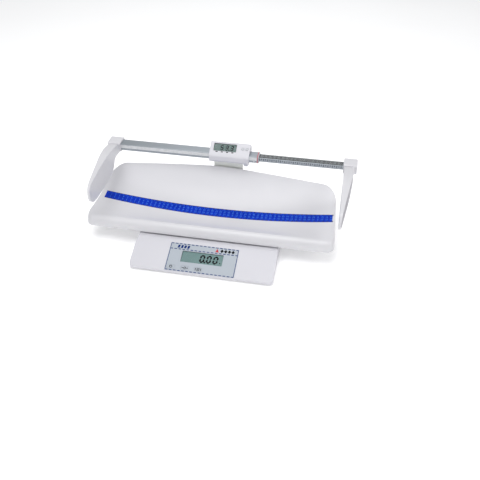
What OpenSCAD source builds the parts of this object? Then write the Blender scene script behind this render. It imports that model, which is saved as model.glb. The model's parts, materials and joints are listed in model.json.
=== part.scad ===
// Digital infant scale: a bowl-shaped tray on a low electronic base, with a
// telescoping length rod behind the tray that carries a head and a foot paddle.
// Millimetres, +Z up. Origin: centre of the base, on the plane of its feet.
// +X runs along the tray, -Y is the side with the console.

/* [Tray] */
// X of the tray's middle
tray_x = -3.5; // [-4:0.5:1]
// Half width of the tray's ridge along the front
tray_front_hw = 284.5; // [280:0.5:286]
// Half width of the tray's ridge at the back corners
tray_back_hw = 276.5; // [268:0.5:279]
// Y of the ridge along the front edge
tray_front_y = -24; // [-30:1:-20]
// Y of the ridge at the middle of the back edge
tray_back_y = 143; // [141:0.5:144]
// Height of the bowl's lowest point above the table
tray_low_z = 46.5; // [46:0.5:50]
// Height of the skirt that hangs from the ridge
skirt_h = 22.5; // [18:0.5:23]
// Wall thickness of the tray
tray_t = 3; // [2.5:0.1:3.5]
// Width of the inlaid measuring tape
tape_w = 23; // [20:0.5:26]

/* [Base] */
// Width of the base
base_w = 324; // [310:2:330]
// Depth of the base
base_d = 250; // [240:2:260]
// Height of the base's flat top above the table
base_top = 39; // [38:0.5:40]
// Height of the rubber feet
foot_h = 4; // [3.5:0.5:5]
// Wall thickness of the base housing
wall = 2.5; // [2:0.1:3]
// Width of the console label
label_w = 157; // [150:1:160]

/* [Length rod] */
// X of the middle of the rod between the two paddles
rod_mid = 17.5; // [10:0.5:20]
// Distance between the facing sides of the two socket blocks
socket_gap = 533; // [500:1:540]
// X where the outer sleeve ends
sleeve_end = 84; // [80:1:90]
// Depth of the sleeve's section
sleeve_d = 25; // [24:0.5:26]
// Height of the sleeve's section
sleeve_h = 16; // [15:0.5:17]
// Width of a socket block along the rod
socket_w = 31; // [28:1:34]
// Width of the length display's housing
disp_w = 95; // [95:1:98]

/* [Hidden] */
$fn = 48;
eps = 0.02;

// Feet and case
foot_r = 11;
foot_x = 132;
foot_y = 100;
case_screw_x = 112;
case_screw_y = 110;
base_r = 12;
cover_t = 3;
cover_gap = 0.5;
undercut = 4;

// Console slope: from its lower edge to its upper edge, in the Y-Z plane
slope_y0 = -base_d / 2 + 1;
slope_z0 = 12.2;
slope_y1 = -54;
slope_z1 = 37;
slope_a = atan2(slope_z1 - slope_z0, slope_y1 - slope_y0);
label_len = 71.5;
label_mid = 36.6;
label_t = 0.6;
lcd_x = -2;
lcd_w = 94;
lcd_len = 28.5;
lcd_mid = 39.7;
key_x = [-67, -35, -5];
key_mid = 10.8;
key_w = 17;
key_len = 9.5;
key_gap = 0.35;
key_recess = 1.3;
stem_r = 1.8;
board_drop = 6;
board_t = 1.6;

// Weighing works
works_y = 45;
cell_len = 110;
cell_w = 22;
cell_h = 14;
cell_bolt = 42;
chassis_z = 8.5;
chassis_t = 2;
cell_z = chassis_z + chassis_t + 1.5;
spider_z = cell_z + cell_h + 1.5;
spider_t = 2.5;
post_x = 95;
post_dy = 40;
post_r = 6;
grommet_z = 41;
boss_z = 44.5;
boss_r = 8;

// Battery compartment of the base
aa_r = 7.1;
aa_len = 50;
cell_pitch = 15.2;
cell_mid_z = 14.9;
box_y0 = -47;
box_y1 = 1;
box_hw = 56;
box_h = 17;
door_gap = 0.4;

// Rod section: the sleeve's top back edge is the reference corner
sleeve_y1 = 153;
sleeve_y0 = sleeve_y1 - sleeve_d;
sleeve_z1 = 168;
sleeve_z0 = sleeve_z1 - sleeve_h;
sleeve_wall = 2;
rod_y = (sleeve_y0 + sleeve_y1) / 2;
rod_z = (sleeve_z0 + sleeve_z1) / 2;
bar_d = 19;
bar_h = 10;
bar_top = rod_z + bar_h / 2;
scale_t = 0.2;
socket_l = rod_mid - socket_gap / 2;
socket_r = rod_mid + socket_gap / 2;
insert = 25;
bar_x0 = -55;
bar_x1 = socket_r + insert;
ring_w = 4;

// Length display housing: profile corners in the Y-Z plane with their radii
disp_x0 = -30;
disp_x1 = disp_x0 + disp_w;
disp_mid = (disp_x0 + disp_x1) / 2;
disp_wall = 2.2;
face_y = 130.8;
face_z = 171.2;
face_a = 36.3;
disp_prof = [[126, 147], [164, 147], [168, 151], [168, 171.5], [156, 184.2], [151, 186],
             [face_y - 3.3, face_z - 3.3 * tan(face_a)], [123, 163.5], [123, 152]];
disp_rad = [3, 3, 3, 5, 3, 3, 5, 6, 4];
disp_split = 158;
roller_r = 4.8;
roller_x = 39;
roller_y = 146;
roller_w = 6;
roller_z = bar_top + scale_t + 0.3 + roller_r;
axle_r = 1;
button_x = [48, 58];
button_r = 3.4;
button_mid = 12.5;
lock_x = 56;
aaa_r = 5.2;
aaa_len = 44;
aaa_y = 159.3;
aaa_z = 158.5;
aaa_pitch = 45.2;
door_y = 168;
door_w = 88.8;
face_lcd_x = 6;

// Bracket between tray and display housing
bracket_x = 12;
bracket_w = 70;
bracket_y = 147.3;
bracket_t = 2.5;

// Head and foot paddle: outline in the Y-Z plane, anticlockwise from the block
paddle_top = [[124, 172], [100, 177], [70, 181], [40, 182], [20, 179.5],
              [-25, 175.5], [-57, 171]];
paddle_tip = [[-67, 163], [-71, 151], [-69, 138], [-61, 128]];
paddle_low = [[-50, 124], [-28, 122.5], [32, 122.5], [50, 124], [66, 129],
              [78, 137], [84, 147], [92, 152], [108, 152], [124, 149]];
paddle_t = 2.4;
paddle_root = 22;
paddle_end = 4.5;
paddle_rib = 6.5;
block_y0 = 124;
block_y1 = 157;
block_z0 = 148.5;
block_z1 = 172.5;

// ---------- shared outline helpers ----------

function unit(v) = v / norm(v);

// Corner b of a polygon, between a and c, replaced by an arc of radius r
function corner_arc(a, b, c, r, n) =
    let (
        u = unit(a - b), w = unit(c - b), half = acos(u * w) / 2,
        mid = b + unit(u + w) * r / sin(half),
        p0 = b + u * r / tan(half), p1 = b + w * r / tan(half),
        a0 = atan2(p0[1] - mid[1], p0[0] - mid[0]),
        a1 = atan2(p1[1] - mid[1], p1[0] - mid[0]),
        turn = a1 - a0 > 180 ? a1 - a0 - 360 : a1 - a0 < -180 ? a1 - a0 + 360 : a1 - a0
    )
    [for (k = [0 : n]) mid + r * [cos(a0 + turn * k / n), sin(a0 + turn * k / n)]];

// A polygon whose corners are all arcs
function rounded(pts, radii, n = 6) =
    let (m = len(pts))
    [for (i = [0 : m - 1])
        each corner_arc(pts[(i + m - 1) % m], pts[i], pts[(i + 1) % m], radii[i], n)];

// Chaikin's corner cutting, once round a closed polygon
function cut_corners(p) =
    let (m = len(p))
    [for (i = [0 : m - 1]) each [p[i] * 0.75 + p[(i + 1) % m] * 0.25,
                                 p[i] * 0.25 + p[(i + 1) % m] * 0.75]];

// A closed polygon moved inwards by d, for points that run anticlockwise
function inset(p, d) =
    let (m = len(p))
    [for (i = [0 : m - 1])
        let (u = unit(p[(i + 1) % m] - p[(i + m - 1) % m])) p[i] + d * [-u[1], u[0]]];

// A closed polygon whose long sides are split into steps no longer than d
function refine(p, d) =
    let (m = len(p))
    [for (i = [0 : m - 1])
        let (q = p[(i + 1) % m], n = max(1, ceil(norm(q - p[i]) / d)))
        each [for (k = [0 : n - 1]) p[i] + (q - p[i]) * k / n]];

function slab(w, d, r) =
    rounded([[-w / 2, -d / 2], [w / 2, -d / 2], [w / 2, d / 2], [-w / 2, d / 2]], [r, r, r, r]);

// A rounded rectangular plate, centred in X and Y, from z = 0 up
module plate(w, d, h, r) {
    linear_extrude(h) polygon(slab(w, d, r));
}

// A Y-Z outline drawn along +X
module along_x(x0, x1) {
    translate([x0, 0, 0]) rotate([90, 0, 90]) linear_extrude(x1 - x0) children();
}

module at_each(points) {
    for (p = points) translate(p) children();
}

// Frame of the console slope: X along the base, Y up the slope, Z off its face
module on_console(x = 0, y = 0, z = 0) {
    translate([0, slope_y0, slope_z0]) rotate([slope_a, 0, 0]) translate([x, y, z]) children();
}

// Frame of the length display's face
module on_face(x = 0, y = 0, z = 0) {
    translate([0, face_y, face_z]) rotate([face_a, 0, 0]) translate([x, y, z]) children();
}

// A pan-head screw that points along +Z, its head below z = 0
module screw(r, length, head_r, head_h) {
    difference() {
        union() {
            translate([0, 0, -head_h]) cylinder(h = head_h, r = head_r);
            cylinder(h = length, r = r);
        }
        for (a = [0, 90])
            rotate(a) translate([-head_r * 0.6, -0.5, -head_h - eps]) cube([head_r * 1.2, 1, head_h * 0.5]);
    }
}

// ---------- base ----------

function base_side(t) =
    let (s = t / cos(slope_a))
    [[-base_d / 2 + undercut + t, 4.5 - (t > 0 ? 1 : 0)],
     [base_d / 2 - t, 4.5 - (t > 0 ? 1 : 0)],
     [base_d / 2 - t, base_top - 3 - t * 0.4],
     [base_d / 2 - 1 - t, base_top - 1 - t * 0.8],
     [base_d / 2 - 3 - t * 0.4, base_top - t],
     [-46, base_top - t],
     [-50, base_top - 0.6 - t],
     [slope_y1, slope_z1 - s],
     [slope_y0 + t * 0.7, slope_z0 - s + t * 0.7 * tan(slope_a)],
     [-base_d / 2 + t, slope_z0 - 1.7 - (t > 0 ? t * 0.5 : 0)]];

module base_solid(t) {
    hw = base_w / 2 - t;
    intersection() {
        along_x(-hw, hw) polygon(base_side(t));
        plate(base_w - 2 * t, base_d - 2 * t, base_top + 1, max(base_r - t, 1));
        translate([0, base_d, 0]) rotate([90, 0, 0]) linear_extrude(2 * base_d)
            polygon([[-hw, 0], [hw, 0], [hw, base_top - 4 - t], [hw - 1.2, base_top - 1.2 - t],
                     [hw - 4, base_top - t], [-hw + 4, base_top - t],
                     [-hw + 1.2, base_top - 1.2 - t], [-hw, base_top - 4 - t]]);
    }
}

case_points = [for (x = [-1, 1], y = [-1, 1]) [x * case_screw_x, y * case_screw_y, 0]];
foot_points = [for (x = [-1, 1], y = [-1, 1]) [x * foot_x, y * foot_y, 0]];
chassis_points = [for (x = [-60, 60], y = [-1, 1]) [x, works_y + y * 28, 0]];
board_points = [for (x = [-82, 78], y = [13, 61]) [x, y, 0]];
post_points = [for (x = [-1, 1], y = [-1, 1]) [x * post_x, works_y + y * post_dy, 0]];

module base_housing() {
    color([0.93, 0.93, 0.95]) difference() {
        union() {
            difference() {
                base_solid(0);
                base_solid(wall);
            }
            intersection() {
                base_solid(wall / 2);
                union() {
                    at_each(case_points) translate([0, 0, 7.2]) cylinder(h = base_top, r = 5);
                    on_console(0, 0, -board_drop) at_each(board_points) cylinder(h = board_drop, r = 3);
                }
            }
        }
        at_each(case_points) translate([0, 0, 7]) cylinder(h = 8, r = 1.6);
        on_console(0, 0, -board_drop - 1) at_each(board_points) cylinder(h = 4.5, r = 1.05);
        at_each(post_points) translate([0, 0, base_top - wall - 1]) cylinder(h = wall + 3, r = post_r + 2.5);
        on_console(lcd_x, lcd_mid, -wall - 3) plate(lcd_w + 1, lcd_len + 1, wall + 5, 1.5);
        on_console(lcd_x, lcd_mid, -1.5) plate(lcd_w + 5, lcd_len + 5, 4, 2);
        for (x = key_x) {
            on_console(x, key_mid, -key_recess) plate(key_w + 2 * key_gap, key_len + 2 * key_gap, 4, 2);
            on_console(x, key_mid, -6) cylinder(h = 8, r = stem_r + 0.5);
        }
        translate([100, base_d / 2 - wall - 1, 17]) rotate([-90, 0, 0]) cylinder(h = wall + 2, r = 4.7);
    }
}

module base_cover() {
    cw = base_w - 2 * (wall + cover_gap);
    cd = base_d - 2 * (wall + cover_gap) - undercut;
    color([0.9, 0.9, 0.92]) difference() {
        union() {
            translate([0, undercut / 2, foot_h]) plate(cw, cd, cover_t, base_r - wall - cover_gap);
            at_each(foot_points) translate([0, 0, foot_h]) cylinder(h = 9, r = 5);
            translate([0, (box_y0 + box_y1) / 2, foot_h])
                plate(2 * box_hw + 4, box_y1 - box_y0 + 4, cover_t + box_h, 2);
            at_each(chassis_points) translate([0, 0, foot_h]) cylinder(h = chassis_z - foot_h, r = 5);
        }
        translate([0, (box_y0 + box_y1) / 2, foot_h - 1])
            plate(2 * box_hw, box_y1 - box_y0, cover_t + box_h - 0.8, 1);
        at_each(foot_points) translate([0, 0, foot_h - 1]) cylinder(h = 9, r = 1.8);
        at_each(case_points) translate([0, 0, foot_h - 1]) {
            cylinder(h = 9, r = 2.3);
            cylinder(h = 2.5, r = 4.2);
        }
        at_each(chassis_points) translate([0, 0, foot_h + 0.8]) cylinder(h = 12, r = 1.5);
    }
}

module rubber_feet() {
    color([0.15, 0.15, 0.16]) at_each(foot_points) difference() {
        rotate_extrude() polygon([[1.9, 0], [foot_r - 1.5, 0], [foot_r - 0.4, 0.5],
                                  [foot_r, 1.6], [foot_r, foot_h], [1.9, foot_h]]);
        translate([0, 0, -1]) cylinder(h = 3.2, r = 4.4);
    }
}

module foot_screws() {
    color([0.7, 0.7, 0.72]) at_each(foot_points) translate([0, 0, 2.2]) screw(1.7, 8, 3.8, 1.5);
}

module case_screws() {
    color([0.7, 0.7, 0.72]) at_each(case_points) translate([0, 0, 5.5]) screw(1.5, 8, 3.6, 1.4);
}

module console_label() {
    color([0.82, 0.87, 0.92]) difference() {
        on_console(-1.5, label_mid, 0) plate(label_w, label_len, label_t, 2);
        on_console(lcd_x, lcd_mid, -1) plate(lcd_w, lcd_len, 4, 1);
        for (x = key_x)
            on_console(x, key_mid, -1) plate(key_w + 2 * key_gap, key_len + 2 * key_gap, 4, 2);
    }
}

module console_window() {
    color([0.8, 0.86, 0.83, 0.35]) on_console(lcd_x, lcd_mid, -1.45)
        plate(lcd_w + 4.4, lcd_len + 4.4, 1.35, 1.8);
}

module main_lcd() {
    color([0.55, 0.66, 0.6]) {
        on_console(lcd_x, lcd_mid, -3.4) plate(lcd_w, lcd_len, 1.6, 0.6);
        on_console(lcd_x, lcd_mid, -5.9) plate(lcd_w + 6, lcd_len + 5, 2.5, 0.6);
    }
}

module main_board() {
    color([0.12, 0.42, 0.2]) difference() {
        union() {
            on_console(lcd_x, 37, -board_drop - board_t) plate(172, 57, board_t, 1);
            on_console(30, 56, -board_drop - board_t - 2.6) plate(14, 10, 2.7, 0.5);
            on_console(52, 44, -board_drop - board_t - 2) plate(18, 18, 2.1, 0.5);
        }
        on_console(0, 0, -board_drop - 5) at_each(board_points) cylinder(h = 9, r = 1.4);
    }
}

module board_screws() {
    color([0.7, 0.7, 0.72]) on_console(0, 0, -board_drop - board_t) at_each(board_points)
        screw(1, 4.4, 2.2, 1);
}

module key_switches() {
    color([0.2, 0.2, 0.2]) for (x = key_x) on_console(x, key_mid + 1, -6) {
        plate(6, 6, 2.2, 0.5);
        translate([0, -1, 0]) cylinder(h = 2.7, r = 1.5);
    }
}

// A membrane key: a cap flush with the label and a stem down to its switch
module key_cap(x) {
    on_console(x, key_mid, -0.5) plate(key_w, key_len, 0.5 + label_t, 1.8);
    on_console(x, key_mid, -2.7) cylinder(h = 2.3, r = stem_r);
}

module key_power() { color([0.84, 0.88, 0.93]) key_cap(key_x[0]); }

module key_tare() { color([0.84, 0.88, 0.93]) key_cap(key_x[1]); }

module key_hold() { color([0.84, 0.88, 0.93]) key_cap(key_x[2]); }

module power_jack() {
    y1 = base_d / 2;
    color([0.12, 0.12, 0.13]) {
        difference() {
            union() {
                translate([94.5, y1 - wall - 13, 11.5]) cube([11, 13, 11]);
                translate([100, y1 - wall - 1, 17]) rotate([-90, 0, 0]) cylinder(h = wall + 1.6, r = 4.4);
            }
            translate([100, y1 - 11, 17]) rotate([-90, 0, 0]) cylinder(h = 12, r = 3);
        }
        translate([100, y1 - 12, 17]) rotate([-90, 0, 0]) cylinder(h = 9, r = 1);
    }
}

module batteries() {
    color([0.75, 0.62, 0.25]) for (x = [-1, 1], k = [-1 : 1])
        translate([x * 26.5 - aa_len / 2, (box_y0 + box_y1) / 2 + k * cell_pitch, cell_mid_z])
            rotate([0, 90, 0]) {
                cylinder(h = aa_len - 1.5, r = aa_r);
                cylinder(h = aa_len, r = 2.6);
            }
}

module battery_contacts() {
    color([0.8, 0.8, 0.78]) for (x = [-1, 1], k = [-1 : 1])
        translate([x * 54.4 - 0.6, (box_y0 + box_y1) / 2 + k * cell_pitch - 5, cell_mid_z - 5.5]) cube([1.2, 10, 11]);
}

module battery_door() {
    y = (box_y0 + box_y1) / 2;
    color([0.88, 0.88, 0.9]) difference() {
        union() {
            translate([0, y, foot_h]) plate(2 * (box_hw - door_gap), box_y1 - box_y0 - 2 * door_gap, 2.2, 1);
            for (x = [-30, 30]) translate([x - 5, box_y1 - 3, foot_h]) cube([10, 1.6, 5]);
        }
        for (k = [-2 : 2]) translate([-12, y + k * 3 - 0.6, foot_h - 1]) cube([24, 1.2, 1.6]);
    }
}

// ---------- weighing works ----------

module chassis_plate() {
    color([0.62, 0.64, 0.66]) difference() {
        translate([0, works_y, chassis_z]) plate(150, 74, chassis_t, 4);
        at_each(chassis_points) cylinder(h = 20, r = 2.2);
        at_each([for (x = [-7, 7]) [x - cell_bolt, works_y, 0]]) cylinder(h = 20, r = 3);
        at_each([for (x = [-68, 68], y = [-1, 1]) [x, works_y + y * 14, 0]]) cylinder(h = 20, r = 2.6);
    }
    color([0.62, 0.64, 0.66]) difference() {
        translate([-cell_bolt, works_y, chassis_z + chassis_t]) plate(26, cell_w, 1.5, 1);
        at_each([for (x = [-7, 7]) [x - cell_bolt, works_y, 0]]) cylinder(h = 20, r = 3);
    }
}

module chassis_screws() {
    color([0.7, 0.7, 0.72]) at_each(chassis_points) translate([0, 0, chassis_z + chassis_t])
        rotate([180, 0, 0]) screw(1.45, 5, 3.6, 1.6);
}

module load_cell() {
    color([0.75, 0.76, 0.78]) difference() {
        translate([-cell_len / 2, works_y - cell_w / 2, cell_z]) cube([cell_len, cell_w, cell_h]);
        for (x = [-8, 8]) translate([x, works_y + cell_w, cell_z + cell_h / 2])
            rotate([90, 0, 0]) cylinder(h = 2 * cell_w, r = 5);
        translate([-8, works_y - cell_w, cell_z + cell_h / 2 - 1.5]) cube([16, 2 * cell_w, 3]);
        for (s = [-1, 1], x = [-7, 7])
            translate([s * cell_bolt + x, works_y, cell_z - 1]) cylinder(h = cell_h + 2, r = 2.4);
    }
}

module load_cell_bolts() {
    color([0.55, 0.56, 0.58]) {
        for (x = [-7, 7]) translate([x - cell_bolt, works_y, chassis_z]) {
            translate([0, 0, -1]) cylinder(h = 1, r = 4.2);
            cylinder(h = 14, r = 2.2);
        }
        for (x = [-7, 7]) translate([x + cell_bolt, works_y, spider_z + spider_t]) {
            cylinder(h = 2.4, r = 4.2);
            translate([0, 0, -14]) cylinder(h = 14, r = 2.2);
        }
    }
}

module support_spider() {
    color([0.62, 0.64, 0.66]) difference() {
        union() {
            translate([0, works_y, spider_z]) plate(2 * post_x + 24, 34, spider_t, 4);
            for (s = [-1, 1]) translate([s * post_x, works_y, spider_z])
                plate(24, 2 * post_dy + 24, spider_t, 8);
            translate([cell_bolt, works_y, spider_z - 1.5]) plate(26, cell_w, 1.5 + eps, 1);
            at_each(post_points) translate([0, 0, spider_z]) cylinder(h = grommet_z - spider_z, r = post_r);
        }
        at_each([for (x = [-7, 7]) [x + cell_bolt, works_y, 0]]) cylinder(h = 60, r = 2.6);
        at_each([for (x = [-7, 7]) [x - cell_bolt, works_y, 0]]) cylinder(h = 60, r = 6);
        at_each(post_points) cylinder(h = 60, r = 2.4);
    }
}

module overload_stops() {
    color([0.55, 0.56, 0.58]) for (x = [-68, 68], y = [-1, 1])
        translate([x, works_y + y * 14, 0]) {
            translate([0, 0, chassis_z + chassis_t]) cylinder(h = 2, r = 4);
            translate([0, 0, chassis_z - 0.9]) cylinder(h = spider_z - 0.8 - chassis_z + 0.9, r = 2.4);
        }
}

module support_grommets() {
    color([0.2, 0.2, 0.21]) at_each(post_points) difference() {
        translate([0, 0, grommet_z]) cylinder(h = boss_z - grommet_z, r = post_r + 1);
        cylinder(h = 60, r = 2.4);
    }
}

// ---------- tray ----------

// Height of the tray's upper surface at x, y
tray_dip_y = 33;
function bowl_mid(y) =
    y < tray_dip_y
    ? tray_low_z + 20 * pow((tray_dip_y - y) / (tray_dip_y - tray_front_y), 2)
    : tray_low_z + 74.5 * pow((y - tray_dip_y) / 107, 1.95);
function bowl_end(y) = tray_low_z + 21.5 + 38 * pow(max(y, 0) / 134, 2.8);
function bowl(x, y) =
    let (f = pow(min(abs(x) / 280, 1.02), 2)) bowl_mid(y) * (1 - f) + bowl_end(y) * f;

ridge = refine(rounded(
    [[tray_x - tray_front_hw, tray_front_y], [tray_x + tray_front_hw, tray_front_y],
     [tray_x + tray_back_hw, tray_back_y - 9.5], [tray_x, tray_back_y],
     [tray_x - tray_back_hw, tray_back_y - 6]],
    [14, 14, 32, 900, 42], 6), 30);
ridge_n = len(ridge);
ridge_out = [for (i = [0 : ridge_n - 1])
    let (u = unit(ridge[(i + 1) % ridge_n] - ridge[(i + ridge_n - 1) % ridge_n])) [u[1], -u[0]]];
bowl_mid_xy = [0, 52];

// How far the skirt stands outside the ridge: a broad rolled lip at the front
function flare(i) = 4 + 12 * pow(max(0, -ridge_out[i][1]), 2);

// Ring of the bowl at fraction s of the way from its middle to the ridge
function bowl_ring(s, drop) = [for (p = ridge)
    let (q = bowl_mid_xy + s * (p - bowl_mid_xy)) [q[0], q[1], bowl(q[0], q[1]) - drop]];

// Ring of the rolled skirt at angle a, from the ridge (0) to its lower edge (90)
function skirt_ring(a, t) = [for (i = [0 : ridge_n - 1])
    let (q = ridge[i] + ridge_out[i] * ((flare(i) - t) * sin(a)),
         z = bowl(ridge[i][0], ridge[i][1]) - t * (1 - sin(a)) - skirt_h * (1 - cos(a)))
    [q[0], q[1], z]];

tray_steps = [0.25, 0.45, 0.62, 0.76, 0.87, 0.95];
module tray_shell() {
    rings = concat(
        [for (s = tray_steps) bowl_ring(s, 0)],
        [for (a = [0, 25, 50, 72, 90]) skirt_ring(a, 0)],
        [for (a = [90, 50, 0]) skirt_ring(a, tray_t)],
        [for (k = [len(tray_steps) - 2 : -2 : 0]) bowl_ring(tray_steps[k], tray_t)]);
    count = len(rings);
    n = ridge_n;
    points = concat([for (r = rings) each r],
        [[bowl_mid_xy[0], bowl_mid_xy[1], bowl(bowl_mid_xy[0], bowl_mid_xy[1])],
         [bowl_mid_xy[0], bowl_mid_xy[1], bowl(bowl_mid_xy[0], bowl_mid_xy[1]) - tray_t]]);
    faces = concat(
        [for (i = [0 : n - 1]) [count * n, (i + 1) % n, i]],
        [for (k = [0 : count - 2], i = [0 : n - 1]) each
            let (a = k * n + i, b = k * n + (i + 1) % n, c = a + n, d = b + n) [[a, b, d], [a, d, c]]],
        [for (i = [0 : n - 1]) [count * n + 1, (count - 1) * n + i, (count - 1) * n + (i + 1) % n]]);
    polyhedron(points, faces, convexity = 6);
}

module tray() {
    color([0.95, 0.95, 0.97]) difference() {
        union() {
            tray_shell();
            for (p = post_points) tray_boss(p[0], p[1]);
            at_each(bracket_bolts) translate([0, -nut_y, 0]) rotate([-90, 0, 0]) cylinder(h = nut_y - 0.05, r = 5.5);
        }
        at_each(post_points) translate([0, 0, boss_z - 1]) cylinder(h = 7, r = 1.9);
        at_each(bracket_bolts) rotate([90, 0, 0]) cylinder(h = 6, r = 2.1);
    }
}

// A screw boss under the tray, cut to end at the middle of the tray's wall
module tray_boss(x, y) {
    n = 6;
    half = boss_r + 1;
    function spot(i, j) = [x + half * (2 * i / n - 1), y + half * (2 * j / n - 1)];
    top = [for (j = [0 : n], i = [0 : n])
        let (q = spot(i, j)) [q[0], q[1], bowl(q[0], q[1]) - tray_t / 2]];
    low = [for (p = top) [p[0], p[1], boss_z - 5]];
    m = (n + 1) * (n + 1);
    cells = [for (j = [0 : n - 1], i = [0 : n - 1]) j * (n + 1) + i];
    rim = concat([for (i = [0 : n - 1]) i], [for (j = [0 : n - 1]) j * (n + 1) + n],
                 [for (i = [0 : n - 1]) m - 1 - i], [for (j = [0 : n - 1]) (n - j) * (n + 1)]);
    intersection() {
        translate([x, y, boss_z]) cylinder(h = 40, r = boss_r);
        polyhedron(concat(top, low), concat(
            [for (a = cells) each [[a, a + n + 2, a + 1], [a, a + n + 1, a + n + 2]]],
            [for (a = cells) each [[m + a, m + a + 1, m + a + n + 2], [m + a, m + a + n + 2, m + a + n + 1]]],
            [for (k = [0 : len(rim) - 1]) each
                let (a = rim[k], b = rim[(k + 1) % len(rim)]) [[a, b, m + b], [a, m + b, m + a]]]));
    }
}

module tray_screws() {
    color([0.7, 0.7, 0.72]) at_each(post_points) translate([0, 0, spider_z]) screw(1.7, 22, 3.8, 1.4);
}

tape_cols = 40;
tape_hw = 273;
tape_y0 = 43;
module measuring_tape() {
    n = tape_cols;
    col = [for (i = [0 : n])
        let (x = -tape_hw + 2 * tape_hw * i / n)
        [for (q = [[tape_y0, -0.5], [tape_y0, 0.9], [tape_y0 + tape_w, 0.9], [tape_y0 + tape_w, -0.5]])
            [x, q[0], bowl(x, q[0]) + q[1]]]];
    color([0.08, 0.2, 0.72]) polyhedron([for (c = col) each c],
        concat([[0, 1, 2], [0, 2, 3]],
            [for (i = [0 : n - 1], k = [0 : 3]) each
                let (a = 4 * i + k, b = 4 * i + (k + 1) % 4, c = a + 4, d = b + 4) [[a, c, d], [a, d, b]]],
            [[4 * n, 4 * n + 2, 4 * n + 1], [4 * n, 4 * n + 3, 4 * n + 2]]));
}

// ---------- bracket ----------

bracket_bolts = [for (x = [-24, 24]) [bracket_x + x, bracket_y, 111]];
nut_y = 5.2;

module rod_bracket() {
    color([0.88, 0.9, 0.87]) difference() {
        union() {
            translate([bracket_x, bracket_y + bracket_t, 123.5]) rotate([90, 0, 0])
                plate(bracket_w, 47, bracket_t, 3);
            translate([bracket_x - bracket_w / 2, 130, 147 - bracket_t])
                cube([bracket_w, bracket_y + bracket_t - 130, bracket_t]);
        }
        at_each(bracket_bolts) translate([0, 4, 0]) rotate([90, 0, 0]) cylinder(h = 8, r = 2.3);
        for (x = [-26, 20]) translate([bracket_x + x, 139, 140]) cylinder(h = 10, r = 1.9);
    }
}

module bracket_screws() {
    color([0.7, 0.7, 0.72]) at_each(bracket_bolts) translate([0, bracket_t, 0])
        rotate([90, 0, 0]) screw(2, 12, 4, 1.8);
}

module bracket_nuts() {
    color([0.7, 0.7, 0.72]) at_each(bracket_bolts) translate([0, -nut_y, 0]) rotate([90, 0, 0])
        difference() {
            cylinder(h = 2.6, r = 4, $fn = 6);
            translate([0, 0, -1]) cylinder(h = 5, r = 2.1);
        }
}

// ---------- length rod ----------

module box_yz(x0, x1, d, h, r) {
    translate([0, rod_y, rod_z]) along_x(x0, x1) polygon(slab(d, h, r));
}

module rod_sleeve() {
    color([0.72, 0.74, 0.76]) difference() {
        box_yz(socket_l - insert, sleeve_end, sleeve_d, sleeve_h, 1.5);
        box_yz(socket_l - insert - 1, sleeve_end + 1, sleeve_d - 2 * sleeve_wall, sleeve_h - 2 * sleeve_wall, 0.8);
        translate([roller_x - 6, roller_y - 4, sleeve_z1 - 4]) cube([12, 8, 6]);
        translate([lock_x, rod_y, sleeve_z0 - 1]) cylinder(h = 4, r = 3);
        translate([77, sleeve_y0 - 1, rod_z - 2.5]) rotate([-90, 0, 0]) cylinder(h = 4, r = 1.5);
        for (x = [-12, -4]) translate([socket_l + x, rod_y, sleeve_z0 - 1]) cylinder(h = 4, r = 1.7);
    }
}

module sleeve_end_bush() {
    color([0.45, 0.46, 0.48]) difference() {
        union() {
            box_yz(sleeve_end + 1.6, sleeve_end + ring_w, sleeve_d + 1.2, sleeve_h + 1.2, 1.8);
            box_yz(sleeve_end - 9, sleeve_end + 2, sleeve_d - 2 * sleeve_wall - 0.1, sleeve_h - 2 * sleeve_wall - 0.1, 0.7);
        }
        translate([sleeve_end - 10, rod_y - bar_d / 2 - 0.35, rod_z - bar_h / 2 - 0.35])
            cube([20, bar_d + 0.7, bar_h + 0.9]);
        translate([77, sleeve_y0 + 1, rod_z - 2.5]) rotate([-90, 0, 0]) cylinder(h = 4, r = 1.1);
    }
}

module index_ring() {
    color([0.75, 0.1, 0.12]) difference() {
        box_yz(sleeve_end, sleeve_end + 1.6, sleeve_d + 0.8, sleeve_h + 0.8, 1.6);
        box_yz(sleeve_end - 1, sleeve_end + 3, sleeve_d - 2 * sleeve_wall, sleeve_h - 2 * sleeve_wall, 0.8);
    }
}

module sleeve_screw() {
    color([0.2, 0.2, 0.21]) translate([77, sleeve_y0, rod_z - 2.5]) rotate([-90, 0, 0]) screw(1, 2.6, 2.4, 1.2);
}

// Paddle drawn on its inner face, its body standing off towards +X
module paddle_blade() {
    outline = cut_corners(cut_corners(concat(paddle_top, paddle_tip, paddle_low)));
    pocket = inset(outline, paddle_t);
    blade_end = -71;
    depth = block_y0 - blade_end;
    difference() {
        intersection() {
            along_x(0, paddle_root) polygon(outline);
            linear_extrude(300) polygon([[0, blade_end - 1], [paddle_end, blade_end - 1],
                                         [paddle_root, blade_end + depth * 0.8],
                                         [paddle_root, block_y0 + 1], [0, block_y0 + 1]]);
        }
        intersection() {
            along_x(paddle_t, paddle_root + 1) polygon(pocket);
            translate([-1, blade_end, 0]) cube([50, depth - 5, 300]);
        }
    }
    intersection() {
        along_x(paddle_t - eps, paddle_rib) polygon(inset(outline, paddle_t / 2));
        for (y = [-42, -10, 22, 54, 86]) translate([0, y, 100]) cube([40, 1.8, 100]);
    }
}

module socket_block(d, h) {
    mid_y = (block_y0 + block_y1) / 2;
    mid_z = (block_z0 + block_z1) / 2;
    difference() {
        translate([0, mid_y, mid_z]) along_x(-2, socket_w - 2)
            polygon(slab(block_y1 - block_y0, block_z1 - block_z0, 4));
        translate([-3, rod_y - d / 2, rod_z - h / 2]) cube([insert + 1.1, d, h]);
    }
}

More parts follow.
